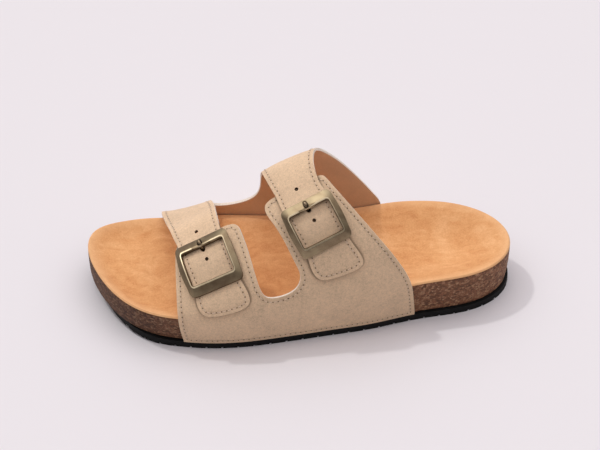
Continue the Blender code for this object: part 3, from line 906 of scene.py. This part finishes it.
@dataclass
class Quarter:
    """One quarter of the upper: its outer nubuck, lining, cut edges and stitching."""

    node: str
    other: str
    name: str
    edge: float = 0.00032
    layer_angle: float = 50.0
    smooth_angle: float = 70.0
    largest_punch: float = 0.006
    fewest_border_points: int = 30
    inset: float = 0.0026
    inset_slack: float = 0.93
    border_step: float = 0.0008
    pitch: float = 0.0031
    fewest_row_points: int = 20
    seam_step: float = 0.0006
    groove: float = 0.00016
    groove_half: float = 0.0012
    overlap_reach: float = 0.005

    def build(self, nodes: Dict[str, bpy.types.Object], finishes: Sequence[bpy.types.Material],
              sewing: "Sewing") -> List[bpy.types.Object]:
        """Refine and dress the quarter.

        Args:
            nodes: The CAD nodes.
            finishes: The materials of its layers, in their order.
            sewing: What makes its stitches.

        Returns:
            The panel and its stitches.
        """
        piece = copy_of(nodes[self.node], self.name)
        surface, borders = self.sort_layers(piece)
        rows = [row for row in (self.stitch_row(border, surface) for border in borders) if row]
        round_edges(piece, self.edge, self.layer_angle)
        smooth_surface(piece, self.smooth_angle)
        self.press_seam(piece, rows)
        self.measure_overlap(piece, nodes[self.other])
        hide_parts(self.node)
        made = [dress(piece, finishes)]
        made += sewing.build(self.name, rows, surface)
        return made

    def sort_layers(self, piece: bpy.types.Object) -> Tuple[BVHTree, List[List[Vector]]]:
        """Sort the faces into layers.

        Args:
            piece: The merged copy.

        Returns:
            The outer surface, and its borders.
        """
        mesh = bmesh.new()
        mesh.from_mesh(piece.data)
        mesh.normal_update()
        patches = flat_patches(mesh, self.layer_angle)
        sides = []
        for patch in patches[:2]:
            facing = 0.0
            for face in patch:
                centre = face.calc_center_median()
                away = centre - Vector((centre.x, *SHOE_CORE[1:]))
                facing += face.calc_area() * away.dot(face.normal)
            sides.append(facing)
        outer, inner = (0, 1) if sides[0] > sides[1] else (1, 0)
        for i, patch in enumerate(patches):
            span = max((f.calc_center_median() - patch[0].calc_center_median()).length for f in patch)
            walls = Layer.EDGE if span > self.largest_punch else Layer.PUNCHED
            layer = {outer: Layer.OUTER, inner: Layer.LINING}.get(i, walls)
            for face in patch:
                face.material_index = layer.value
        borders = [b for b in border_loops(patches[outer]) if len(b) > self.fewest_border_points]
        places = [v.co.copy() for v in mesh.verts]
        for i, v in enumerate(mesh.verts):
            v.index = i
        surface = BVHTree.FromPolygons(places, [[v.index for v in f.verts] for f in patches[outer]])
        mesh.to_mesh(piece.data)
        mesh.free()
        return surface, borders

    def stitch_row(self, border: Sequence[Vector], surface: BVHTree) -> List[Vector]:
        """Lay a row of needle holes inside a border.

        Args:
            border: The border's points.
            surface: The outer surface.

        Returns:
            The holes, or none where the border is too short for a row.
        """
        chain = resample(border, self.border_step, closed=True)
        tree = tree_of(chain)
        row = []
        count = len(chain)
        for i, point in enumerate(chain):
            run = (chain[(i + 2) % count] - chain[i - 2]).normalized()
            _, normal, _, _ = surface.find_nearest(point)
            inward = normal.cross(run).normalized()
            hit, _, _, _ = surface.find_nearest(point + inward * self.inset)
            if tree.find(hit)[2] > self.inset * self.inset_slack:
                row.append(hit)
        return resample(row, self.pitch, closed=True) if len(row) > self.fewest_row_points else []

    def press_seam(self, piece: bpy.types.Object, rows: Sequence[Sequence[Vector]]) -> None:
        """Press the nubuck in along its stitches, and store how near each point is to them."""
        tree = tree_of([p for row in rows for p in resample(row, self.seam_step, closed=True)])
        outer = set()
        for face in piece.data.polygons:
            if face.material_index == Layer.OUTER.value:
                outer.update(face.vertices)
        places = [v.co.copy() for v in piece.data.vertices]
        normals = [v.normal.copy() for v in piece.data.vertices]
        near, moved = [], []
        for i, (point, normal) in enumerate(zip(places, normals)):
            distance = tree.find(point)[2] if i in outer else 1.0
            share = ease(max(0.0, 1 - distance / self.groove_half))
            near.append(share)
            moved.extend(point - normal * (self.groove * share))
        piece.data.vertices.foreach_set("co", moved)
        piece.data.update()
        store(piece, "seam", near)

    def measure_overlap(self, piece: bpy.types.Object, other: bpy.types.Object) -> None:
        """Store how far each point is from the other quarter, up to a limit, for the painted shadow and
        painted shade beside it.
        """
        faces = [list(f.vertices) for f in other.data.polygons]
        surface = BVHTree.FromPolygons([v.co for v in other.data.vertices], faces)
        gaps = []
        for vertex in piece.data.vertices:
            distance = surface.find_nearest(vertex.co, self.overlap_reach)[3]
            gaps.append(self.overlap_reach if distance is None else distance)
        store(piece, "overlap", gaps)


@dataclass
class Sewing:
    """Needle holes and the thread between them."""

    hole: float = 0.00037
    thread_width: float = 0.00030
    thread_rise: float = 0.00020
    thread_share: float = 0.62
    longest: float = 0.006
    thread_sides: int = 6
    thread_cuts: int = 3
    taper: float = 0.55
    sink: float = 0.75
    hole_sides: int = 10
    dish: float = 0.35
    lift: float = 0.00003
    smooth_angle: float = 60.0
    thread: Optional[bpy.types.Material] = None
    hollow: Optional[bpy.types.Material] = None

    def stitch(self) -> bpy.types.Object:
        """Model one stitch along X, arched, with its ends sunk."""
        bpy.ops.object.select_all(action="DESELECT")
        bpy.ops.mesh.primitive_cylinder_add(
            vertices=self.thread_sides, radius=1.0, depth=2.0, end_fill_type="NGON",
            rotation=(0.0, math.pi / 2, 0.0),
        )
        thing = bpy.context.object
        bpy.ops.object.transform_apply(location=True, rotation=True, scale=True)
        edit_all()
        bpy.ops.mesh.subdivide(number_cuts=self.thread_cuts)
        bpy.ops.object.mode_set(mode="OBJECT")
        for vertex in thing.data.vertices:
            x = vertex.co.x
            fall = 1 - self.taper * x * x
            inner = abs(x) < 0.99
            around = Vector((0.0, vertex.co.y, vertex.co.z)).normalized() if inner else vertex.co
            vertex.co = Vector((x, around[1] * fall, around[2] * fall - self.sink * x * x))
        return thing

    def needle_hole(self) -> bpy.types.Object:
        """Model one needle hole: a small disc with an inner ring, which carries the hole's painted shade."""
        bpy.ops.object.select_all(action="DESELECT")
        bpy.ops.mesh.primitive_circle_add(vertices=self.hole_sides, radius=1.0, fill_type="NGON")
        thing = bpy.context.object
        edit_all()
        bpy.ops.mesh.inset(thickness=self.dish)
        bpy.ops.object.mode_set(mode="OBJECT")
        return thing

    def build(self, name: str, rows: Sequence[Sequence[Vector]], surface: BVHTree) -> List[bpy.types.Object]:
        """Lay the stitches along their rows.

        Args:
            name: The quarter's name.
            rows: The needle holes of each row.
            surface: The quarter's outer surface.

        Returns:
            The threads and the needle holes, each as one piece.
        """
        holes, threads = [], []
        for row in rows:
            for i, point in enumerate(row):
                following = row[(i + 1) % len(row)]
                before = row[i - 1]
                holes.append(self.seat(point, following - before, self.hole, self.hole, self.hole, surface))
                run = following - point
                if run.length < self.longest:
                    threads.append(self.seat(
                        (point + following) / 2, run, run.length / 2 * self.thread_share,
                        self.thread_width, self.thread_rise, surface,
                    ))
        return [
            self.repeat(self.stitch(), threads, f"{name}_thread", self.thread),
            self.repeat(self.needle_hole(), holes, f"{name}_needle_holes", self.hollow),
        ]

    def seat(self, point: Vector, run: Vector, length: float, width: float, rise: float,
             surface: BVHTree) -> Matrix:
        """Seat a stitch or hole on the surface.

        Args:
            point: About where it goes.
            run: The direction of its row there.
            length: Its half length.
            width: Its half width.
            rise: Its half height.
            surface: The quarter's outer surface.

        Returns:
            Its place, turn and size.
        """
        hit, normal, _, _ = surface.find_nearest(point)
        along = (run - normal * run.dot(normal)).normalized()
        across = normal.cross(along)
        turn = Matrix((along * length, across * width, normal * rise)).transposed().to_4x4()
        return Matrix.Translation(hit + normal * self.lift) @ turn

    def repeat(self, pattern: bpy.types.Object, places: Sequence[Matrix], name: str,
               material: Optional[bpy.types.Material]) -> bpy.types.Object:
        """Copy a modelled stitch or hole to its places.

        Args:
            pattern: The modelled one, which is removed.
            places: Where the copies go.
            name: The new piece's name.
            material: Its finish.

        Returns:
            All the copies, as one dressed piece.
        """
        points = [v.co for v in pattern.data.vertices]
        faces = [list(f.vertices) for f in pattern.data.polygons]
        moved = [spot @ point for spot in places for point in points]
        shifted = [[v + i * len(points) for v in face] for i in range(len(places)) for face in faces]
        data = bpy.data.meshes.new(name)
        data.from_pydata(moved, [], shifted)
        bpy.data.objects.remove(pattern)
        piece = bpy.data.objects.new(name, data)
        bpy.context.scene.collection.objects.link(piece)
        shade_smooth(piece, self.smooth_angle)
        return dress(piece, [material])


@dataclass
class BuckleSet:
    """A square buckle's frame and its pin."""

    end: str
    edge: float = 0.00022
    frame_sharp: float = 16.0
    frame_smooth: float = 28.0
    pin_sharp: float = 50.0
    pin_smooth: float = 60.0
    tip_reach: float = 0.0036
    tip_end: float = 0.4
    underside: float = -0.7
    ridge_tilt: float = 14.0
    wall_tilt: float = 62.0

    def build(self, nodes: Dict[str, bpy.types.Object], finishes: Sequence[AntiqueBrass],
              loose: AntiqueBrass) -> List[bpy.types.Object]:
        """Refine and dress the frame and the pin.

        Args:
            nodes: The CAD nodes.
            finishes: The finishes of the frame's slopes, its ridge and its walls.
            loose: The pin's finish.

        Returns:
            The frame and the pin.
        """
        frame = copy_of(nodes[f"buckle_frame_{self.end}"], f"brass_frame_{self.end}")
        tip, run = self.pin_end(nodes[f"buckle_pin_{self.end}"])
        self.sort_faces(frame)
        round_edges(frame, self.edge, self.frame_sharp)
        shade_smooth(frame, self.frame_smooth)
        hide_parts(f"buckle_frame_{self.end}")
        dress(frame, [finish.material(tip, run) for finish in finishes])
        pin = copy_of(nodes[f"buckle_pin_{self.end}"], f"brass_pin_{self.end}")
        round_edges(pin, self.edge, self.pin_sharp, 1)
        smooth_surface(pin, self.pin_smooth)
        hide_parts(f"buckle_pin_{self.end}")
        dress(pin, [loose.material()])
        return [frame, pin]

    def sort_faces(self, frame: bpy.types.Object) -> None:
        """Give the frame's faces their finish, by how far they lean from its underside: the flat ridge gets
        pale worn brass with a painted highlight, the steep walls brass with painted shade.
        """
        points = [v.co for v in frame.data.vertices]
        centre = sum(points, Vector()) / len(points)
        first = max((p - centre for p in points), key=lambda arm: arm.length)
        upright = max((first.cross(p - centre) for p in points), key=lambda c: c.length).normalized()
        if upright.dot(centre - Vector(SHOE_CORE)) < 0:
            upright.negate()
        faces = frame.data.polygons
        under = [face for face in faces if face.normal.dot(upright) < self.underside]
        tree = tree_of([face.center for face in under])
        for face in faces:
            below = under[tree.find(face.center)[1]]
            lean = math.degrees(face.normal.angle(-below.normal))
            face.material_index = 1 if lean < self.ridge_tilt else 2 if lean > self.wall_tilt else 0

    def pin_end(self, pin: bpy.types.Object) -> Tuple[Vector, Vector]:
        """Return the middle of the pin's upper part, and its direction there."""
        points = [v.co for v in pin.data.vertices]
        foot = min(points, key=lambda p: p.z)
        far = max(points, key=lambda p: (p - foot).length)
        upper = [p for p in points if (p - far).length < self.tip_reach]
        middle = sum(upper, Vector()) / len(upper)
        ends = [p for p in upper if (p - far).length < self.tip_reach * self.tip_end]
        tip = sum(ends, Vector()) / len(ends)
        return middle, (tip - middle).normalized()


@dataclass
class Studio:
    """Pale paper floor, soft light and the photograph's camera."""

    eye: Vector = field(default_factory=lambda: Vector((-0.12263593, -1.42694087, 1.39303724)))
    back: Vector = field(default_factory=lambda: Vector((-0.06235973, -0.72782488, 0.68292182)))
    azimuth: float = 4.897
    roll: float = -0.1316
    lens: float = 199.43
    sensor: float = 36.0
    nearest: float = 0.05
    furthest: float = 30.0
    floor_span: float = 12.0
    key_from: Vector = field(default_factory=lambda: Vector((-0.42, 0.30, 0.857)))
    key_angle: float = 3.0
    key_power: float = 0.62
    key_colour: Colour = (1.0, 1.0, 0.97)
    ceiling_colour: Colour = (0.985, 0.955, 0.970)
    ceiling_from: Colour = (0.0, 0.24, 0.97)
    zenith: float = 1.80
    horizon: float = 0.06

    def build(self) -> None:
        """Set up the studio."""
        self.add_floor()
        self.add_lights()
        self.add_camera()

    def add_floor(self) -> None:
        """Lay the paper."""
        bpy.ops.object.select_all(action="DESELECT")
        bpy.ops.mesh.primitive_plane_add(size=self.floor_span)
        floor = bpy.context.object
        floor.name = "studio_floor"
        floor.data.materials.append(Paper().material())

    def add_lights(self) -> None:
        """Light the shoe from a soft ceiling and from a key lamp high beyond the toe."""
        world = bpy.data.worlds.new("studio ceiling")
        world.use_nodes = True
        nodes = Nodes(world.node_tree)
        way = nodes.node("ShaderNodeTexCoord", output="Generated")
        facing = nodes.node("ShaderNodeVectorMath", {"operation": "DOT_PRODUCT"}, {
            0: way, 1: self.ceiling_from,
        }, 1)
        above = nodes.node("ShaderNodeClamp", inputs={0: facing})
        glow = above * above * (self.zenith - self.horizon) + self.horizon
        back = world.node_tree.nodes["Background"]
        back.inputs["Color"].default_value = (*self.ceiling_colour, 1.0)
        world.node_tree.links.new(glow.socket, back.inputs["Strength"])
        bpy.context.scene.world = world
        lamp = bpy.data.lights.new("key", "SUN")
        lamp.angle = math.radians(self.key_angle)
        lamp.energy = self.key_power
        lamp.color = self.key_colour
        thing = bpy.data.objects.new("key", lamp)
        thing.location = self.key_from
        thing.rotation_euler = self.key_from.to_track_quat("Z", "Y").to_euler()
        bpy.context.scene.collection.objects.link(thing)

    def add_camera(self) -> None:
        """Place the camera as in the photograph."""
        turn = math.radians(self.azimuth)
        level = Vector((math.cos(turn), -math.sin(turn), 0.0))
        upright = self.back.cross(level)
        lean = math.radians(self.roll)
        right = level * math.cos(lean) + upright * math.sin(lean)
        up = upright * math.cos(lean) - level * math.sin(lean)
        lens = bpy.data.cameras.new("camera")
        lens.lens = self.lens
        lens.sensor_width = self.sensor
        lens.clip_start = self.nearest
        lens.clip_end = self.furthest
        camera = bpy.data.objects.new("camera", lens)
        bpy.context.scene.collection.objects.link(camera)
        pose = Matrix((right, up, self.back)).transposed().to_4x4()
        camera.matrix_world = Matrix.Translation(self.eye) @ pose
        bpy.context.scene.camera = camera
        bpy.context.scene.view_settings.view_transform = "Standard"


def main() -> None:
    """Dress the sandal and set up its studio."""
    logging.basicConfig(level=logging.INFO, format="%(name)s: %(message)s")
    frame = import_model()
    nodes = frame["nodes"]
    for node in nodes.values():
        node.select_set(False)
    Studio().build()
    Sole().build(nodes)
    Midsole().build(nodes)
    Footbed().build(nodes)
    layers = [
        Nubuck().material(), Lining().material(), CutEdge().material(),
        # Painted shade on the walls of the punched holes.
        DarkHollow("punched hole", (0.10, 0.062, 0.040)).material(),
    ]
    # The needle holes are dark discs of painted shade.
    sewing = Sewing(thread=Thread().material(), hollow=DarkHollow().material())
    Quarter("upper_lateral", "upper_medial", "lateral_quarter").build(nodes, layers, sewing)
    Quarter("upper_medial", "upper_lateral", "medial_quarter").build(nodes, layers, sewing)
    brass = [
        AntiqueBrass(),
        # Pale brass on the flat ridge: wear, with a painted highlight along it.
        AntiqueBrass("rubbed brass with painted highlight", (0.74, 0.61, 0.41), (0.48, 0.385, 0.245), wear=0.65, roughness=0.34),
        # Painted shade on the frame's steep walls, over its dark patina.
        AntiqueBrass("shaded brass", (0.20, 0.14, 0.08), (0.10, 0.068, 0.038), roughness=0.42),
    ]
    loose = AntiqueBrass("pin brass", (0.34, 0.26, 0.17), (0.16, 0.11, 0.065), roughness=0.30)
    for end in ("front", "rear"):
        BuckleSet(end).build(nodes, brass, loose)


if __name__ == "__main__":
    main()
